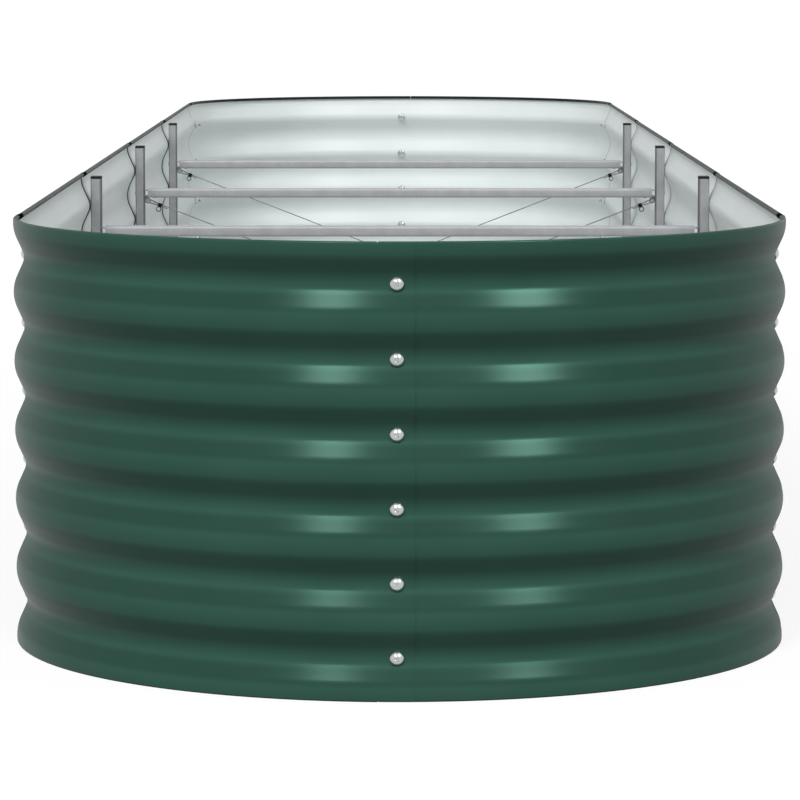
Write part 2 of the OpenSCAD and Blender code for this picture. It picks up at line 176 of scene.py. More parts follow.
def bow(x, z, start, stop, radius=CURL_RADIUS, steps=CURL_STEPS):
    """Points on a bend about x, z, from one turn to another in degrees."""
    turns = [math.radians(start + (stop - start) * i / steps) for i in range(steps + 1)]
    return [Vector((x + radius * math.cos(t), 0, z + radius * math.sin(t))) for t in turns]


def sheet_line(wall):
    """The section of a panel at mid sheet, from the lip of the lower curl to that of the upper."""
    top, low = BED_H - SHEET / 2, BED_H - CURL + SHEET / 2
    inner = wall + SHEET - CURL + CURL_RADIUS
    upper = bow(wall - CURL_RADIUS, top - CURL_RADIUS, 0, 90)
    upper += bow(inner, top - CURL_RADIUS, 90, 180)
    upper += bow(inner, low + CURL_RADIUS, 180, 270)
    upper.append(Vector((wall - SHEET / 2 - 2 * LAP_AIR, 0, low)))
    slope = math.degrees(FLANK)
    valley_x = wall - WAVE_DEPTH + VALLEY_RADIUS
    wave = []
    for i in range(WAVES + 1):
        z = CURL + i * WAVE_PITCH
        start, stop = (0 if i == 0 else -slope), (0 if i == WAVES else slope)
        wave += bow(wall - CREST_RADIUS, z, start, stop, CREST_RADIUS, CREST_STEPS)
        if i < WAVES:
            wave += bow(valley_x, z + WAVE_PITCH / 2, 180 + slope, 180 - slope, VALLEY_RADIUS,
                        VALLEY_STEPS)
    lower = [Vector((p.x, 0, BED_H - p.z)) for p in reversed(upper)]
    return lower + wave + upper


def stretch(*lengths):
    """Pulls the selected edge along the wall, a length at a time."""
    for length in lengths:
        bpy.ops.mesh.extrude_region_move(TRANSFORM_OT_translate={"value": (0, length, 0)})


def bend(degrees, steps):
    """Turns the selected edge about the middle of a round end."""
    bpy.ops.mesh.spin(
        steps=steps, angle=math.radians(degrees), center=(0, 0, 0), axis=(0, 0, -1)
    )


def outwards(piece):
    """Turns the faces of a sheet so that they look away from the bed."""
    bpy.ops.mesh.select_all(action="SELECT")
    bpy.ops.mesh.normals_make_consistent(inside=False)
    bm = bmesh.from_edit_mesh(piece.data)
    crest = max(bm.faces, key=lambda f: f.calc_center_median().x)
    if crest.normal.x < 0:
        bpy.ops.mesh.flip_normals()


def cut_curls(piece, in_lap, inward):
    """Takes the curls off over a lap, where the neighbour's curls run through."""

    def curl_face(face):
        c = face.calc_center_median()
        return in_lap(c) and inward(c) > CURL_SHARE * CURL and (c.z > BED_H - CURL or c.z < CURL)

    choose(piece, curl_face)
    bpy.ops.mesh.delete(type="FACE")


def give_thickness(piece):
    """Makes a sheet solid, half to each side of what was drawn.

    The back of a face gets the next finish in the panel's list, and its cut edge the next but one.
    """
    bpy.ops.object.mode_set(mode="OBJECT")
    modify(
        piece, "SOLIDIFY", thickness=SHEET, offset=0, material_offset=1, material_offset_rim=2,
    )
    smooth(piece)


def grain_group():
    """Fine mottling in a coat or a zinc skin: a patchy value and a speckled one."""
    group = bpy.data.node_groups.new("grain", "ShaderNodeTree")
    for name in ("Patch", "Fine"):
        group.interface.new_socket(name, in_out="INPUT", socket_type="NodeSocketFloat")
    for name in ("Patches", "Specks"):
        group.interface.new_socket(name, in_out="OUTPUT", socket_type="NodeSocketFloat")
    nodes, links = group.nodes, group.links
    ins, outs = nodes.new("NodeGroupInput"), nodes.new("NodeGroupOutput")
    place = nodes.new("ShaderNodeTexCoord")
    patches = nodes.new("ShaderNodeTexNoise")
    patches.inputs["Detail"].default_value = 3
    specks = nodes.new("ShaderNodeTexNoise")
    specks.inputs["Detail"].default_value = 4
    specks.inputs["Roughness"].default_value = 0.6
    specks.inputs["Distortion"].default_value = 1
    for noise, rate in ((patches, "Patch"), (specks, "Fine")):
        links.new(place.outputs["Object"], noise.inputs["Vector"])
        links.new(ins.outputs[rate], noise.inputs["Scale"])
    links.new(patches.outputs["Fac"], outs.inputs["Patches"])
    links.new(specks.outputs["Fac"], outs.inputs["Specks"])
    return group


GRAIN = grain_group()
GRAIN_LOW, GRAIN_HIGH, GRAIN_DEPTH = 0.3, 0.7, 0.00005


def shade(hex_code):
    """A colour written as on a paint card, in the light units that a shader takes."""
    parts = [int(hex_code[i:i + 2], 16) / 255 for i in (0, 2, 4)]
    return [*(p / 12.92 if p <= 0.04045 else ((p + 0.055) / 1.055) ** 2.4 for p in parts), 1]


def finish(name, dark, light, rough, metal, specular=0.5, patch=6, fine=900, specks=0.4,
           bump=0.05, coat=0):
    """A material whose colour and roughness wander between two values with the grain."""
    material = bpy.data.materials.new(name)
    material.use_nodes = True
    nodes, links = material.node_tree.nodes, material.node_tree.links
    skin = nodes["Principled BSDF"]
    grain = nodes.new("ShaderNodeGroup")
    grain.node_tree = GRAIN
    grain.inputs["Patch"].default_value = patch
    grain.inputs["Fine"].default_value = fine
    blend = nodes.new("ShaderNodeMix")
    blend.inputs[0].default_value = specks
    links.new(grain.outputs["Patches"], blend.inputs[2])
    links.new(grain.outputs["Specks"], blend.inputs[3])
    spread = nodes.new("ShaderNodeMapRange")
    spread.inputs["From Min"].default_value = GRAIN_LOW
    spread.inputs["From Max"].default_value = GRAIN_HIGH
    links.new(blend.outputs[0], spread.inputs["Value"])
    colour = nodes.new("ShaderNodeMix")
    colour.data_type = "RGBA"
    colour.inputs[6].default_value = shade(dark)
    colour.inputs[7].default_value = shade(light)
    links.new(spread.outputs["Result"], colour.inputs[0])
    links.new(colour.outputs[2], skin.inputs["Base Color"])
    wander = nodes.new("ShaderNodeMapRange")
    wander.inputs["To Min"].default_value = rough[0]
    wander.inputs["To Max"].default_value = rough[1]
    links.new(spread.outputs["Result"], wander.inputs["Value"])
    links.new(wander.outputs["Result"], skin.inputs["Roughness"])
    relief = nodes.new("ShaderNodeBump")
    relief.inputs["Strength"].default_value = bump
    relief.inputs["Distance"].default_value = GRAIN_DEPTH
    links.new(grain.outputs["Specks"], relief.inputs["Height"])
    links.new(relief.outputs["Normal"], skin.inputs["Normal"])
    skin.inputs["Metallic"].default_value = metal
    skin.inputs["Specular IOR Level"].default_value = specular
    skin.inputs["Coat Weight"].default_value = coat
    return material


def weaken(material, amount):
    """Multiplies the colour of a finish by a value that changes over the surface."""
    nodes, links = material.node_tree.nodes, material.node_tree.links
    base = nodes["Principled BSDF"].inputs["Base Color"]
    less = nodes.new("ShaderNodeVectorMath")
    less.operation = "SCALE"
    links.new(base.links[0].from_socket, less.inputs[0])
    links.new(amount, less.inputs["Scale"])
    links.new(less.outputs[0], base)


BEND_SHARE, FLANK_SHARE = 0.55, 0.95


def paint_flank_shade(material, share):
    """Paints shade on the flanks of the waves, so that they are darker than crests and valleys.

    The sine of a wave's turn is 0 on crests and in valleys and 1 half way down a flank.
    """
    nodes, links = material.node_tree.nodes, material.node_tree.links
    place, parts = nodes.new("ShaderNodeTexCoord"), nodes.new("ShaderNodeSeparateXYZ")
    links.new(place.outputs["Object"], parts.inputs[0])
    phase = nodes.new("ShaderNodeMapRange")
    phase.clamp = False
    phase.inputs["From Min"].default_value = CURL
    phase.inputs["From Max"].default_value = CURL + WAVE_PITCH
    phase.inputs["To Max"].default_value = math.tau
    links.new(parts.outputs["Z"], phase.inputs["Value"])
    last = phase.outputs["Result"]
    for operation in ("SINE", "ABSOLUTE"):
        step = nodes.new("ShaderNodeMath")
        step.operation = operation
        links.new(last, step.inputs[0])
        last = step.outputs[0]
    on_flank = nodes.new("ShaderNodeMapRange")
    on_flank.interpolation_type = "SMOOTHSTEP"
    on_flank.inputs["From Min"].default_value = BEND_SHARE
    on_flank.inputs["From Max"].default_value = FLANK_SHARE
    on_flank.inputs["To Min"].default_value = 1
    on_flank.inputs["To Max"].default_value = share
    links.new(last, on_flank.inputs["Value"])
    weaken(material, on_flank.outputs["Result"])


def dress(piece, *materials):
    """Gives a piece its finishes, the first one for all faces that aren't painted."""
    piece.data.materials.clear()
    for material in materials:
        piece.data.materials.append(material)


def paint(piece, wanted, index):
    """Gives the faces that fit a test another of the piece's finishes."""
    choose(piece, wanted)
    piece.active_material_index = index
    bpy.ops.object.material_slot_assign()


# How far a face with painted shade may look away from the bed, and how far it must look down
# underneath
SHADE_AT_BEND, SHADE_AT_SIDE, SHADE_BELOW = 0.4, 0.98, -0.5


def on_rim(bent, start=-1, stop=1):
    """A test for the faces of the upper curl between two places along a panel.

    Those that look away from the bed stay green, at a bend also those that look partly so; the
    others get painted shade.
    """

    def fits(face):
        c = face.calc_center_median()
        round_end = bent and c.y > 0
        away = c.to_2d().normalized() if round_end else Vector((1, 0))
        reach = SHADE_AT_BEND if round_end else SHADE_AT_SIDE
        return start < c.y < stop and c.z > BED_H - CURL and face.normal.to_2d().dot(away) < reach

    return fits


def under_edge(face):
    """A test for the underside of the lower curl, which gets painted shadow where it meets the
    ground.
    """
    return face.calc_center_median().z < CURL / 2 and face.normal.z < SHADE_BELOW


def hand_over(piece, slot, *nodes):
    """The finished piece stands for its solids and rides with the bed."""
    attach(piece, "root")
    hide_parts(*nodes)


# Gloss green outside, pale back coat inside, bare steel at the cuts, and painted shade on the
# rims and under the lower curls, nearly black over the laps where one rim runs into the next
green_coat = finish("green_coat", "33594c", "395f52", (0.22, 0.26), 0.14, specular=0,
                    patch=9, fine=700, specks=0.3, bump=0.03, coat=0.085)
painted_rim_shade = finish("painted_rim_shade", "1d2724", "25302d", (0.25, 0.3), 0.05, specular=0,
                  patch=9, fine=700, specks=0.3, bump=0.03, coat=0.12)
painted_joint_shade = finish("painted_joint_shade", "0a0c0c", "141716", (0.45, 0.55), 0, specular=0)
for material, haze in ((green_coat, 0.26), (painted_rim_shade, 0.18)):
    skin = material.node_tree.nodes["Principled BSDF"]
    skin.inputs["Coat IOR"].default_value = 1.46
    skin.inputs["Coat Roughness"].default_value = 0.22
    skin.inputs["Sheen Weight"].default_value = haze
    skin.inputs["Sheen Roughness"].default_value = 0.37
# Painted shade on the flanks of the waves, darker than crests and valleys
paint_flank_shade(green_coat, 0.72)
pale_coat = finish("pale_back_coat", "dde5e4", "e5edec", (0.42, 0.5), 0, specular=0.4,
                   patch=7, fine=600, specks=0.3, bump=0.05)
cut_edge = finish("cut_sheet_edge", "545958", "686d6c", (0.5, 0.6), 0.2, specular=0.2, fine=1500)
# Places in a panel's list of finishes, after the coat at 0 and with the cut edge at 2
BACK, SHADE_SLOT, JOINT = 1, 3, 4

# The straight side panels, bolted to each other and to the posts through their laps. One is
# drawn with its near bolt line at the origin and its outer face to +X. Its near end lies
# behind the neighbour, and a grey strip is painted along the cut on the back as the lap's shade.
SIDE_WALL = WALL - LAP_STEP / 2
side_line = draw_line("side_line", sheet_line(SIDE_WALL))
straight = copy_of(side_line, "straight_panel", Matrix.Translation((0, -LAP, 0)))
edit(straight)
stretch(LAP_SHADE_STRIP, 2 * LAP - LAP_SHADE_STRIP, SIDE_PITCH - 2 * LAP - CURL_CUT, 2 * LAP + CURL_CUT)
outwards(straight)
cut_curls(straight, lambda c: c.y > SIDE_PITCH - LAP - CURL_CUT - HAIR, lambda c: SIDE_WALL - c.x)
dress(straight, green_coat, pale_coat, cut_edge, painted_rim_shade, painted_joint_shade)
# A strip along the near cut gets the grey of the cut edge on the back, painted as the lap's shade
paint(straight, lambda f: f.calc_center_median().y < LAP_SHADE_STRIP - LAP, BACK)
# Painted shade on the top and inward side of the rim, nearly black over the laps
paint(straight, on_rim(False), SHADE_SLOT)
paint(straight, on_rim(False, -LAP, LAP), JOINT)
# Painted shadow under the lower curl
paint(straight, under_edge, SHADE_SLOT)
give_thickness(straight)
skew = (
    Matrix.Translation((SIDE_WALL, 0, 0))
    @ Matrix.Rotation(-math.atan(LAP_STEP / SIDE_PITCH), 4, "Z")
    @ Matrix.Translation((-SIDE_WALL, 0, 0))
)
settle(straight, skew)
mirror = Matrix.Scale(-1, 4, (1, 0, 0))
for side in ("left", "right"):
    for i in range(1, SIDE_COUNT + 1):
        place = i if side == "left" else SIDE_COUNT + 1 - i
        facing = Matrix.Rotation(0 if side == "left" else math.pi, 4, "Z")
        along = Matrix.Translation((0, (place - 1) * SIDE_PITCH - SIDE_END, 0))
        panel = mirrored_copy(straight, f"side_wall_{side}_{i}", facing @ along @ mirror)
        hand_over(panel, "coated_sheet", f"side_panel_{side}_{i}")
bpy.data.objects.remove(straight)


# The quarters that close the round ends: a straight flange for the lap with the side, then
# the bend. The outer quarter is the shorter one, so the end seam sits beside the middle.
def from_bend(c):
    """How far a place is from the centre of the bend, or on the flange from the middle line."""
    return c.x if c.y < 0 else c.to_2d().length


def quarter(name, outer):
    """A corner panel about the middle of its bend, from the +X side round to +Y."""
    wall = WALL + (LAP_STEP if outer else -LAP_STEP) / 2
    turn = 90 + (-1 if outer else 1) * math.degrees(math.asin(SEAM_SHIFT / VALLEY))
    lap_turn, cut_turn = (math.degrees(d / VALLEY) for d in (LAP, CURL_CUT))
    end_lap = turn - math.degrees((LAP + CURL_CUT) / VALLEY) - HAIR_TURN
    panel = draw_line(name, sheet_line(wall))
    settle(panel, Matrix.Translation((0, -2 * LAP, 0)))
    edit(panel)
    stretch(2 * LAP)
    bend(cut_turn, 1)
    bend(turn - lap_turn - 2 * cut_turn, BEND_STEPS)
    bend(2 * lap_turn + cut_turn, LAP_STEPS)
    outwards(panel)
    if outer:
        cut_curls(
            panel, lambda c: c.y < CURL_CUT or math.degrees(math.atan2(c.y, c.x)) > end_lap,
            lambda c: wall - from_bend(c))
    dress(panel, green_coat, pale_coat, cut_edge if outer else pale_coat, painted_rim_shade, painted_joint_shade)
    # Painted shade on the top and inward side of the rim, nearly black over the lap
    paint(panel, on_rim(True), SHADE_SLOT)
    paint(panel, on_rim(True, stop=0), SHADE_SLOT if outer else JOINT)
    # Painted shadow under the lower curl
    paint(panel, under_edge, SHADE_SLOT)
    give_thickness(panel)
    return panel


to_end = Matrix.Translation((0, SIDE_END + LAP, 0))
half_turn = Matrix.Rotation(math.pi, 4, "Z")
outer_quarter = quarter("outer_quarter", True)
inner_quarter = quarter("inner_quarter", False)
for name, model, place in (
    ("back_right", outer_quarter, to_end),
    ("front_left", outer_quarter, half_turn @ to_end),
    ("back_left", inner_quarter, to_end @ mirror),
    ("front_right", inner_quarter, half_turn @ to_end @ mirror),
):
    panel = mirrored_copy(model, f"end_wall_{name}", place)
    hand_over(panel, "coated_sheet", f"corner_panel_{name}")
for model in (side_line, outer_quarter, inner_quarter):
    bpy.data.objects.remove(model)

# The posts are channels pressed from zinc coated strip. One stands at each side seam, its back
# against the inner sheet, held by the same six bolts as the seam. Its lips, towards the middle
# of the bed, get painted shade and are darker than the rest.
POST_W, POST_D, POST_T, POST_DROP = 0.02, 0.013, 0.0016, 0.0045
CAP_T, SEAT, LIP_SHADE = 0.003, 0.0001, 0.5
POST_OUT = VALLEY - SHEET - LAP_STEP - SEAT
POST_IN = POST_OUT - POST_D
POST_TOP = BED_H - POST_DROP - CAP_T
POST_YS = [i * SIDE_PITCH - SIDE_END for i in range(1, SIDE_COUNT)]
FRAMES = [(side, i) for side in ("left", "right") for i in range(1, SIDE_COUNT)]
post_steel = finish("post_steel", "989a9d", "babcbe", (0.38, 0.55), 0.5, patch=60, fine=850,
                    specks=0.65, bump=0.12)
nodes, links = post_steel.node_tree.nodes, post_steel.node_tree.links
from_middle = nodes.new("ShaderNodeVectorMath")
from_middle.operation = "ABSOLUTE"
links.new(nodes.new("ShaderNodeTexCoord").outputs["Object"], from_middle.inputs[0])
across = nodes.new("ShaderNodeSeparateXYZ")
links.new(from_middle.outputs[0], across.inputs[0])
# Painted shade on the lips of the channel, towards the middle of the bed
lip_shade_mask = nodes.new("ShaderNodeMapRange")
lip_shade_mask.inputs["From Min"].default_value = POST_IN + POST_T
lip_shade_mask.inputs["From Max"].default_value = POST_IN + POST_T + SEAT
lip_shade_mask.inputs["To Min"].default_value = LIP_SHADE
links.new(across.outputs["X"], lip_shade_mask.inputs["Value"])
weaken(post_steel, lip_shade_mask.outputs["Result"])
for side, i in FRAMES:
    dress(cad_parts[f"post_{side}_{i}"], post_steel)


# A black moulded cap is pressed into the top of each post. It has a lip all round and a
# soft edge on top.
CAP_LIP, CAP_CORNER, CAP_EDGE = 0.0004, 0.0018, 0.0009
LEVEL = 0.9


def frame_end(side, i):
    """The place of a piece made with its outer side to +X at one end of a frame."""
    return Matrix.Translation((0, POST_YS[i - 1], 0)) @ Matrix.Scale(
        -1 if side == "left" else 1, 4, (1, 0, 0))


def block(name, size, centre):
    """A box as a piece of its own, with its size in the mesh."""
    bpy.ops.mesh.primitive_cube_add(size=1, location=centre)
    piece = bpy.context.active_object
    piece.name = piece.data.name = name
    piece.scale = size
    return settle(piece)


black_plastic = finish("black_plastic", "07080a", "0f1012", (0.5, 0.62), 0, specular=0.2,
                       fine=1100, bump=0.1)
cap_w, cap_d = POST_W + 2 * CAP_LIP, POST_D + CAP_LIP
cap = block("cap", (cap_d, cap_w, CAP_T), (POST_OUT - cap_d / 2, 0, POST_TOP + CAP_T / 2))
edit(cap)
choose(cap, lambda e: abs(e.verts[0].co.z - e.verts[1].co.z) > CAP_T / 2, "EDGE")
bpy.ops.mesh.bevel(offset=CAP_CORNER, segments=4)
choose(cap, lambda f: f.normal.z > LEVEL)
bpy.ops.mesh.region_to_loop()
bpy.ops.mesh.bevel(offset=CAP_EDGE, segments=3)
bpy.ops.object.mode_set(mode="OBJECT")
smooth(cap, 40)
dress(cap, black_plastic)
for side, i in FRAMES:
    lid = mirrored_copy(cap, f"end_cap_{side}_{i}", frame_end(side, i))
    hand_over(lid, "black_plastic", f"post_cap_{side}_{i}")
bpy.data.objects.remove(cap)

# The brackets that carry the bars and the lugs that hold the wires near the ground are bent
# from zinc coated strip, as the posts are, and blind rivets hold them.
bracket_steel = finish("bracket_steel", "8d9094", "b4b6b8", (0.3, 0.45), 0.7, patch=80, fine=900,
                       specks=0.5, bump=0.06)
rivet_zinc = finish("rivet_zinc", "a9acae", "c8cacb", (0.25, 0.35), 0.85, fine=1500, bump=0.05)
for side, i in FRAMES:
    dress(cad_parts[f"bar_bracket_{side}_{i}"], bracket_steel)
    dress(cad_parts[f"wire_lug_{side}_{i}"], bracket_steel)
dress(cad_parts["bracket_rivets"], rivet_zinc)

# The cross bars keep the two long sides from bulging. Each is a flat galvanised tube with round
# corners, cut square, that slides over the tabs of its two brackets. Its mouths are open.
BAR_W, BAR_H, BAR_T, BAR_R = 0.02, 0.013, 0.0015, 0.003
BAR_DROP, BAR_GAP, BAR_MOUTH = 0.067, 0.005, 0.03
BAR_END = POST_IN - BAR_GAP
BAR_Z = BED_H - BAR_DROP - BAR_H / 2
galvanised = finish("galvanised", "97989b", "b6b7ba", (0.5, 0.64), 0.4, patch=60, fine=850,
                    specks=0.65, bump=0.12)
bar = block("bar", (2 * BAR_END, BAR_W, BAR_H), (0, 0, BAR_Z))
edit(bar)
choose(bar, lambda e: abs(e.verts[0].co.x - e.verts[1].co.x) > BAR_END, "EDGE")
bpy.ops.mesh.bevel(offset=BAR_R, segments=6)
choose(bar, lambda f: abs(f.normal.x) > LEVEL)
bpy.ops.mesh.inset(thickness=BAR_T)
for way in (-1, 1):
    choose(bar, lambda f: f.normal.x * way > LEVEL and abs(f.calc_center_median().y) < SEAT
           and len(f.verts) > 4)
    bpy.ops.mesh.extrude_region_move(TRANSFORM_OT_translate={"value": (-way * BAR_MOUTH, 0, 0)})
bpy.ops.object.mode_set(mode="OBJECT")
smooth(bar, 40)
dress(bar, galvanised)
for i, y in enumerate(POST_YS, 1):
    rail = copy_of(bar, f"frame_bar_{i}", Matrix.Translation((0, y, 0)))
    hand_over(rail, "galvanised_steel", f"cross_bar_{i}")
bpy.data.objects.remove(bar)

# Two thin steel cables cross under each bar and pull the frame square. Each runs from an eye
# under one end of the bar down to a lug on the post across, looped and clamped at both ends.
WIRE_D, WIRE_LAY, WIRE_STEP = 0.0018, 0.012, 0.001
STRANDS, GROOVE_SHARE, LOOP_STEPS = 6, 0.82, 10
PIN_D, EYE_D, WIRE_LOW_Z = 0.003, 0.009, 0.066
CLAMP_AT, CLAMP_LEN, WIRE_TAIL = 0.019, 0.006, 0.009
EYE_X, EYE_Z = BAR_END - EYE_D / 2 + BAR_GAP, BAR_Z - BAR_H / 2 - EYE_D / 2 - 2 * SEAT
LOW_X = POST_IN - EYE_D / 2
WIRE_RUN = math.hypot(EYE_X + LOW_X, EYE_Z - WIRE_LOW_Z)
WIRE_FALL = math.atan((EYE_Z - WIRE_LOW_Z) / (EYE_X + LOW_X))
STRAND = WIRE_D / 2 + 2 * SEAT
LOOP_R = PIN_D / 2 + STRAND
CRIMP_AT = CLAMP_AT * 3 / 4


def along_wire(side, i):
    """The frame of one wire: X down its run from the upper eye, Z square to it."""
    way = 1 if side == "left" else -1
    return (
        Matrix.Translation((0, POST_YS[i - 1] + way * STRAND, 0))
        @ Matrix.Scale(way, 4, (1, 0, 0))
        @ Matrix.Translation((-EYE_X, 0, EYE_Z))
        @ Matrix.Rotation(WIRE_FALL, 4, "Y")
    )


def cable(name, knots):
    """A cable of twisted strands: a lobed ring that turns as it runs from knot to knot."""
    path, run = [], 0
    for a, b in zip(knots, knots[1:]):
        parts = max(1, round((b - a).length / WIRE_STEP))
        path += [a.lerp(b, k / parts) for k in range(parts)]
    path.append(knots[-1])
    mesh = bpy.data.meshes.new(name)
    bm = bmesh.new()
    rings = []
    around = 2 * STRANDS
    up = Vector((0, 1, 0))
    for k, p in enumerate(path):
        ahead = (path[min(k + 1, len(path) - 1)] - path[max(k - 1, 0)]).normalized()
        out = ahead.cross(up)
        run += (p - path[max(k - 1, 0)]).length
        ring = []
        for n in range(around):
            t = math.tau * (n / around + run / WIRE_LAY)
            r = WIRE_D / 2 * (1 if n % 2 == 0 else GROOVE_SHARE)
            ring.append(bm.verts.new(p + r * (math.cos(t) * out + math.sin(t) * up)))
        rings.append(ring)
    for a, b in zip(rings, rings[1:]):
        for n in range(around):
            bm.faces.new((a[n], a[(n + 1) % around], b[(n + 1) % around], b[n]))
    bm.faces.new(rings[0])
    bm.faces.new(rings[-1])
    bmesh.ops.recalc_face_normals(bm, faces=bm.faces)
    bm.to_mesh(mesh)
    bm.free()
    piece = bpy.data.objects.new(name, mesh)
    bpy.context.scene.collection.objects.link(piece)
    smooth(piece, 60)
    return piece


wire_line = [Vector((CLAMP_AT + CLAMP_LEN / 2 + WIRE_TAIL, 0, -STRAND)),
             Vector((CLAMP_AT - CLAMP_LEN / 2, 0, -STRAND))]
wire_line += bow(0, 0, -90, -270, LOOP_R, LOOP_STEPS)
wire_line += [Vector((CLAMP_AT - CLAMP_LEN / 2, 0, STRAND)),
              Vector((WIRE_RUN - CRIMP_AT + CLAMP_LEN / 2, 0, STRAND))]
wire_line += bow(WIRE_RUN, 0, 90, -90, LOOP_R, LOOP_STEPS)
wire_line += [Vector((WIRE_RUN - CRIMP_AT + CLAMP_LEN / 2, 0, -STRAND)),
              Vector((WIRE_RUN - CRIMP_AT - CLAMP_LEN, 0, -STRAND))]
wire_steel = finish("wire_steel", "75797b", "939698", (0.5, 0.6), 0.4, fine=1800, bump=0.05)
brace = cable("brace", wire_line)
dress(brace, wire_steel)
for side, i in FRAMES:
    wire = mirrored_copy(brace, f"brace_cable_{side}_{i}", along_wire(side, i))
    hand_over(wire, "steel_wire", f"brace_wire_{side}_{i}")
bpy.data.objects.remove(brace)

# Near the bar a black clamp squeezes the two strands of each loop, with a steel pull ring that
# hangs from it; near the ground a pressed sleeve does the same.
RING_D, RING_T = 0.008, 0.0014
CLAMP_WALL, CLAMP_ROUND_SHARE, CLAMP_SOFT = WIRE_D / 2, 0.45, 0.0004
clamp_high, clamp_wide = 2 * STRAND + WIRE_D + 2 * CLAMP_WALL, WIRE_D + 2 * CLAMP_WALL
clamp = block("clamp", (CLAMP_LEN, clamp_wide, clamp_high), (CLAMP_AT, 0, 0))
edit(clamp)
choose(clamp, lambda e: abs(e.verts[0].co.x - e.verts[1].co.x) > CLAMP_LEN / 2, "EDGE")
bpy.ops.mesh.bevel(offset=clamp_wide * CLAMP_ROUND_SHARE, segments=5)
choose(clamp, lambda f: abs(f.normal.x) > LEVEL)
bpy.ops.mesh.region_to_loop()
bpy.ops.mesh.bevel(offset=CLAMP_SOFT, segments=2)
bpy.ops.object.mode_set(mode="OBJECT")
ring_z = -STRAND - WIRE_D / 2 - CLAMP_WALL - RING_D / 2 + RING_T / 2
bpy.ops.mesh.primitive_torus_add(
    location=(CLAMP_AT, 0, ring_z), rotation=(math.pi / 2, 0, 0), major_segments=28,
    minor_segments=10, major_radius=(RING_D - RING_T) / 2, minor_radius=RING_T / 2)
ring = settle(bpy.context.active_object)
ring_steel = finish("ring_steel", "545958", "686d6c", (0.5, 0.6), 0.2, specular=0.2, fine=1500)
dress(ring, ring_steel)
dress(clamp, black_plastic)
pick(clamp, ring)
bpy.ops.object.join()
smooth(clamp, 40)


def joined(name, pieces):
    """Makes one piece of several."""
    pick(*pieces)
    bpy.ops.object.join()
    pieces[0].name = pieces[0].data.name = name
    return pieces[0]


clamps = joined("cable_clamps", [
    mirrored_copy(clamp, f"clamp_{side}_{i}", along_wire(side, i)) for side, i in FRAMES])
hand_over(clamps, "black_plastic", "wire_clamps")
bpy.data.objects.remove(clamp)
for name in ("wire_crimps", "wire_screws", "wire_nuts"):
    dress(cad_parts[name], rivet_zinc)

# Zinc plated pan head bolts hold every seam, one in each valley of the waves. The heads have
# a cross recess and the threaded ends stand out on the inside. Each was driven home to a turn
# of its own, near to half a right angle.
HEAD_D, HEAD_H, HEAD_RIM = 0.0135, 0.0047, 0.0013
DOME_SHARES = (0.96, 0.88, 0.74, 0.56, 0.34, 0.12)
BOLT_D, BOLT_LEN, THREADS, THREAD_PITCH, THREAD_DEPTH = 0.006, 0.014, 8, 0.001, 0.0005
CROSS_LONG, CROSS_WIDE, CROSS_DEEP = 0.0074, 0.0014, 0.0022
CROSS_TAPER_SHARES = (0.45, 0.7, 1)
BOLT_SIDES, SLIVER = 24, 0.00002
DRIVEN_FROM, DRIVEN_SPREAD, DRIVEN_STEP, DRIVEN_SEAM_STEP = 41, 9, 7, 5
head_cap = HEAD_H - HEAD_RIM
head_ball = (HEAD_D ** 2 / 4 + head_cap ** 2) / (2 * head_cap)
head_rise = VALLEY_RADIUS - math.sqrt(VALLEY_RADIUS ** 2 - HEAD_D ** 2 / 4)
HEAD_SEAT = VALLEY + head_rise + 3 * SEAT
bpy.ops.mesh.primitive_cylinder_add(
    vertices=BOLT_SIDES, radius=HEAD_D / 2, depth=HEAD_RIM, location=(0, 0, HEAD_RIM / 2))
bolt = settle(bpy.context.active_object)
edit(bolt)
choose(bolt, lambda f: f.normal.z > LEVEL)
r, z = HEAD_D / 2, 0
for share in DOME_SHARES:
    r_next = HEAD_D / 2 * share
    z_next = math.sqrt(head_ball ** 2 - r_next ** 2) - head_ball + head_cap
    bpy.ops.mesh.inset(thickness=(r - r_next), depth=z_next - z)
    r, z = r_next, z_next
choose(bolt, lambda f: f.normal.z < -LEVEL)
bpy.ops.mesh.inset(thickness=(HEAD_D - BOLT_D) / 2)
plain = BOLT_LEN - THREADS * THREAD_PITCH
bpy.ops.mesh.extrude_region_move(TRANSFORM_OT_translate={"value": (0, 0, -plain)})
narrow = 1 - 2 * THREAD_DEPTH / BOLT_D
for n in range(2 * THREADS):
    bpy.ops.mesh.extrude_region_move(TRANSFORM_OT_translate={"value": (0, 0, -THREAD_PITCH / 2)})
    width = narrow if n % 2 == 0 else 1 / narrow
    bpy.ops.transform.resize(value=(width, width, 1))
bpy.ops.object.mode_set(mode="OBJECT")
for turned in (0, 90):
    tool = block("tool", (CROSS_LONG, CROSS_WIDE, 2 * CROSS_DEEP), (0, 0, HEAD_H))
    edit(tool)
    choose(tool, lambda f: f.normal.z < -LEVEL)
    bpy.ops.transform.resize(value=CROSS_TAPER_SHARES)
    bpy.ops.object.mode_set(mode="OBJECT")
    settle(tool, Matrix.Rotation(math.radians(turned), 4, "Z"))
    modify(bolt, "BOOLEAN", operation="DIFFERENCE", object=tool, solver="EXACT")
    bpy.data.objects.remove(tool)
edit(bolt)
bpy.ops.mesh.dissolve_degenerate(threshold=SLIVER)
bpy.ops.object.mode_set(mode="OBJECT")
smooth(bolt, 35)
zinc = finish("zinc_plate", "b4b8b9", "d0d4d5", (0.2, 0.3), 0.85, fine=1500, bump=0.04)
dress(bolt, zinc)


def seams():
    """The frame of each seam, with X outwards, and whether a post stands at it."""
    end_turn = math.pi / 2 - math.asin(SEAM_SHIFT / VALLEY)
    for half in (Matrix.Rotation(0, 4, "Z"), half_turn):
        yield half @ to_end @ Matrix.Rotation(end_turn, 4, "Z"), False
        for y in (-SIDE_END, SIDE_END):
            yield half @ Matrix.Translation((0, y, 0)), False
        for y in POST_YS:
            yield half @ Matrix.Translation((0, y, 0)), True


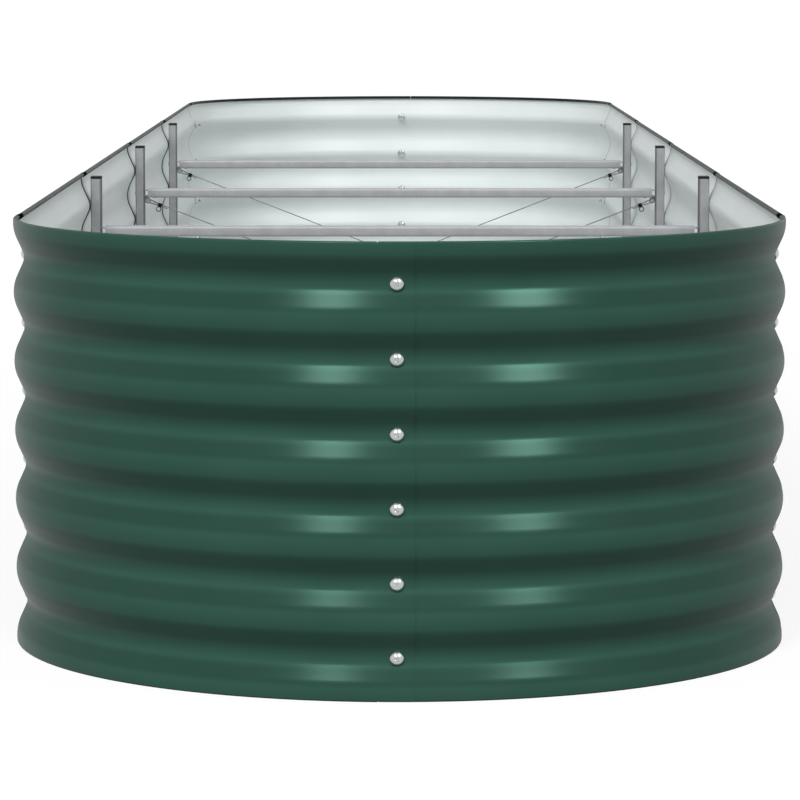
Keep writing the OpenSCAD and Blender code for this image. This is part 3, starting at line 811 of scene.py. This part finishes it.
lie_down = Matrix.Rotation(math.pi / 2, 4, "Y")
BOLT_ZS = [CURL + (n + 0.5) * WAVE_PITCH for n in range(WAVES)]
heads = []
for s, (seam, _) in enumerate(seams()):
    for n, z in enumerate(BOLT_ZS):
        degrees = DRIVEN_FROM + (DRIVEN_STEP * n + DRIVEN_SEAM_STEP * s) % DRIVEN_SPREAD
        driven = Matrix.Rotation(math.radians(degrees), 4, "Z")
        heads.append(copy_of(bolt, f"bolt_{s}_{n}", seam @ Matrix.Translation((HEAD_SEAT, 0, z))
                             @ lie_down @ driven))
hand_over(joined("seam_bolts", heads), "zinc_fasteners", "panel_bolts")
bpy.data.objects.remove(bolt)

# A zinc plated flange nut closes each bolt from the inside, against the inner sheet or the web
# of a post. The nuts stop at any turn, which repeats every sixth part.
NUT_FLANGE_D, NUT_FLANGE_T, NUT_H, NUT_AF = 0.015, 0.0014, 0.005, 0.01
FLANGE_SLOPE_W, FLANGE_SLOPE_H, NUT_SOFT, NUT_MOUTH = 0.0014, 0.0005, 0.0006, 0.001
NUT_SPREAD, NUT_STEP, NUT_SEAM_STEP = 60, 29, 53
bpy.ops.mesh.primitive_cylinder_add(
    vertices=32, radius=NUT_FLANGE_D / 2, depth=NUT_FLANGE_T, location=(0, 0, NUT_FLANGE_T / 2))
flange = settle(bpy.context.active_object)
edit(flange)
choose(flange, lambda f: f.normal.z > LEVEL)
bpy.ops.mesh.inset(thickness=FLANGE_SLOPE_W, depth=FLANGE_SLOPE_H)
bpy.ops.object.mode_set(mode="OBJECT")
bpy.ops.mesh.primitive_cylinder_add(
    vertices=6, radius=NUT_AF / 2 / math.cos(math.pi / 6), depth=NUT_H - NUT_FLANGE_T,
    location=(0, 0, (NUT_H + NUT_FLANGE_T) / 2))
hexagon = settle(bpy.context.active_object)
edit(hexagon)
choose(hexagon, lambda f: f.normal.z > LEVEL)
bpy.ops.mesh.region_to_loop()
bpy.ops.mesh.bevel(offset=NUT_SOFT, segments=2)
choose(hexagon, lambda f: f.normal.z > LEVEL)
bpy.ops.mesh.inset(thickness=(NUT_AF - BOLT_D) / 2 - NUT_SOFT)
bpy.ops.mesh.extrude_region_move(TRANSFORM_OT_translate={"value": (0, 0, -NUT_MOUTH)})
bpy.ops.object.mode_set(mode="OBJECT")
nut = joined("nut", [flange, hexagon])
smooth(nut, 35)
dress(nut, zinc)
nuts = []
face_in = Matrix.Rotation(-math.pi / 2, 4, "Y")
for s, (seam, at_post) in enumerate(seams()):
    face = POST_OUT - POST_T - SEAT if at_post else POST_OUT
    for n, z in enumerate(BOLT_ZS):
        degrees = (NUT_STEP * n + NUT_SEAM_STEP * s) % NUT_SPREAD
        driven = Matrix.Rotation(math.radians(degrees), 4, "Z")
        nuts.append(copy_of(nut, f"nut_{s}_{n}", seam @ Matrix.Translation((face, 0, z))
                            @ face_in @ driven))
hand_over(joined("flange_nuts", nuts), "zinc_fasteners", "panel_nuts")
bpy.data.objects.remove(nut)

# The floor is a plain pale sheet of paper. To the eye it is white and keeps the bed's shadow.
# For the light that it passes on to the walls it is darker, most of all outside the bed.
FLOOR_SIZE, FLOOR_OUTSIDE, FLOOR_INSIDE = 400, 0.1, 0.4
PAPER_SHADE, PAPER_LIGHT, PAPER_SHARE = 0.9, 1.09, 0.76


def for_eyes(tree, lit, seen, output):
    """Shows one shader to the camera and in reflections and lets the other light the bed."""
    nodes, links = tree.nodes, tree.links
    rays = nodes.new("ShaderNodeLightPath")
    direct = rays.outputs["Is Camera Ray"]
    for kind in ("Is Glossy Ray", "Is Transmission Ray"):
        either = nodes.new("ShaderNodeMath")
        either.operation = "MAXIMUM"
        links.new(direct, either.inputs[0])
        links.new(rays.outputs[kind], either.inputs[1])
        direct = either.outputs[0]
    choice = nodes.new("ShaderNodeMixShader")
    links.new(direct, choice.inputs[0])
    links.new(lit.outputs[0], choice.inputs[1])
    links.new(seen.outputs[0], choice.inputs[2])
    links.new(choice.outputs[0], nodes[output].inputs["Surface"])


bpy.ops.mesh.primitive_plane_add(size=FLOOR_SIZE, location=(0, 0, 0))
floor = bpy.context.active_object
floor.name = "floor"
floor_paint = bpy.data.materials.new("floor_paint")
floor_paint.use_nodes = True
nodes, links = floor_paint.node_tree.nodes, floor_paint.node_tree.links
nodes.remove(nodes["Principled BSDF"])
last = nodes.new("ShaderNodeTexCoord").outputs["Object"]
for operation, value in (
    ("ABSOLUTE", 0), ("SUBTRACT", SIDE_END + LAP), ("MAXIMUM", 0), ("LENGTH", 0),
):
    step = nodes.new("ShaderNodeVectorMath")
    step.operation = operation
    links.new(last, step.inputs[0])
    step.inputs[1].default_value = (0, value, 0)
    last = step.outputs["Value" if operation == "LENGTH" else "Vector"]
inside = nodes.new("ShaderNodeMath")
inside.operation = "LESS_THAN"
inside.inputs[1].default_value = VALLEY
links.new(last, inside.inputs[0])
ground = nodes.new("ShaderNodeMix")
ground.data_type = "RGBA"
ground.inputs[6].default_value = (FLOOR_OUTSIDE, FLOOR_OUTSIDE, FLOOR_OUTSIDE, 1)
ground.inputs[7].default_value = (FLOOR_INSIDE, FLOOR_INSIDE, FLOOR_INSIDE, 1)
links.new(inside.outputs[0], ground.inputs[0])
matt = nodes.new("ShaderNodeBsdfDiffuse")
links.new(ground.outputs[2], matt.inputs["Color"])
seen_matt = nodes.new("ShaderNodeBsdfDiffuse")
seen_matt.inputs["Color"].default_value = (PAPER_SHADE, PAPER_SHADE, PAPER_SHADE, 1)
white = nodes.new("ShaderNodeEmission")
white.inputs["Strength"].default_value = PAPER_LIGHT
paper = nodes.new("ShaderNodeMixShader")
paper.inputs[0].default_value = PAPER_SHARE
links.new(seen_matt.outputs[0], paper.inputs[1])
links.new(white.outputs[0], paper.inputs[2])
for_eyes(floor_paint.node_tree, matt, paper, "Material Output")
floor.data.materials.append(floor_paint)

# The room round the floor is white to the eye and sheds a weak, even light. It has no walls, so
# the gloss of the coat shows only its white and the two narrow lamps.
ROOM_LIGHT = 0.3
room = bpy.data.worlds.new("room")
bpy.context.scene.world = room
room.use_nodes = True
nodes = room.node_tree.nodes
sky = nodes["Background"]
sky.inputs["Color"].default_value = (1, 1, 1, 1)
sky.inputs["Strength"].default_value = ROOM_LIGHT
screen = nodes.new("ShaderNodeBackground")
screen.inputs["Color"].default_value = (1, 1, 1, 1)
for_eyes(room.node_tree, sky, screen, "World Output")

# Five soft lamps, each with its bearing from the near end, height and width in degrees, and
# whether it lights matt surfaces and shows in glossy ones. The broad ones give the even light,
# and the two narrow ones the bright streaks on the crests.
for name, bearing, height, strength, width, in_matt, in_gloss in (
    ("lamp_front", 8, 48, 1.1, 30, True, False),
    ("lamp_side_left", -72, 18, 0.4, 40, True, False),
    ("lamp_side_right", 72, 18, 0.34, 40, True, False),
    ("lamp_left", -23.4, 42, 1.08, 13, True, True),
    ("lamp_right", 44, 42, 1.68, 16, False, True),
):
    lamp = bpy.data.lights.new(name, "SUN")
    lamp.energy = strength
    lamp.angle = math.radians(width)
    holder = bpy.data.objects.new(name, lamp)
    holder.visible_diffuse = in_matt
    holder.visible_glossy = in_gloss
    a, e = math.radians(bearing), math.radians(height)
    towards = Vector((math.sin(a) * math.cos(e), -math.cos(a) * math.cos(e), math.sin(e)))
    holder.rotation_euler = towards.to_track_quat("Z", "Y").to_euler()
    bpy.context.scene.collection.objects.link(holder)
